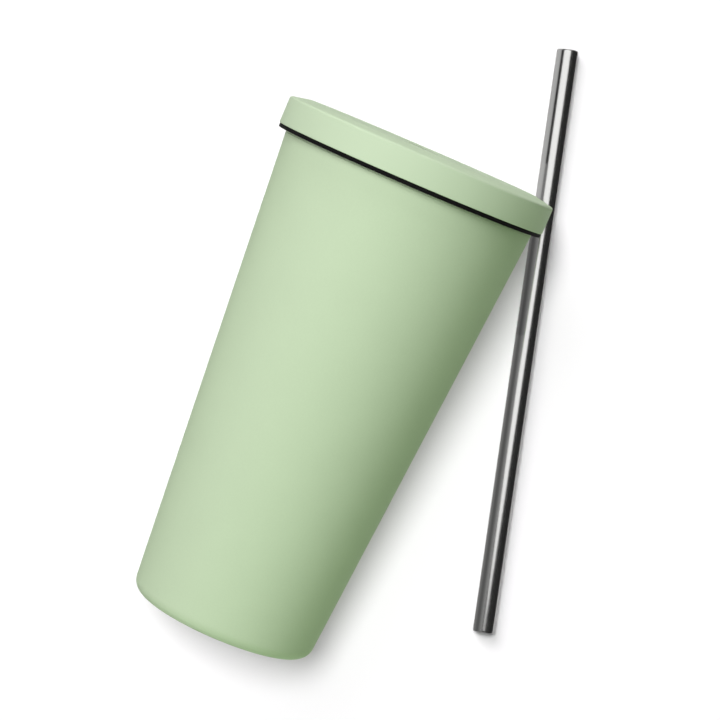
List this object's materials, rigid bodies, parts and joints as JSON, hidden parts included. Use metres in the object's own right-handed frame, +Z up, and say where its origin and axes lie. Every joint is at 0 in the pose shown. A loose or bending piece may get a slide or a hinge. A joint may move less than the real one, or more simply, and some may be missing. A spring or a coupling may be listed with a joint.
{
  "type": "insulated travel mug",
  "caption": "Insulated travel mug lying on its side: a tapered, double-walled steel tumbler with a push-in lid, a rim gasket and a straw hole, and a straight steel straw lying beside it.",
  "frame": {"origin": "on the ground, under the middle of the set's outline seen from above", "axes": "+X along the lying mug from its base to its lid (the mug's axis climbs 5.42 degrees from the ground), +Z up, the straw on the -Y side"},
  "size_m": [0.2441, 0.1437, 0.1004],
  "materials": {
    "powder_coat": "matte powder coat, very fine texture",
    "bare_steel": "brushed round the axis",
    "spun_steel": "spun in rings",
    "straw_steel": "drawn, brushed lengthwise",
    "solder_glass": "dark glass solder",
    "copper_foil": "bright rolled foil",
    "getter_metal": "sintered",
    "lid_plastic": "satin moulded",
    "inner_lid_plastic": "satin moulded",
    "black_silicone": "matte silicone"
  },
  "bodies": {
    "mug": {"outer_shell": "powder_coat", "outer_bottom": "bare_steel", "vacuum_seal": "solder_glass", "base_cap": "spun_steel", "inner_liner": "bare_steel", "liner_bottom": "bare_steel", "radiation_foil": "copper_foil", "getter": "getter_metal", "getter_clip": "bare_steel"},
    "lid": {"lid_cover": "lid_plastic", "inner_lid": "inner_lid_plastic", "rim_gasket": "black_silicone", "skirt_seal": "black_silicone", "straw_grommet": "black_silicone"},
    "straw": {"straw": "straw_steel"}
  },
  "joints": [
    {"name": "lid_lift", "type": "slide", "parent": "mug", "child": "lid", "axis": [0.9955, 0, 0.0945], "range_m": [0, 0.12]},
    {"name": "straw_slide", "type": "slide", "parent": "mug", "child": "straw", "axis": [-0.9659, -0.2588, 0], "range_m": [0, 0.12]}
  ]
}
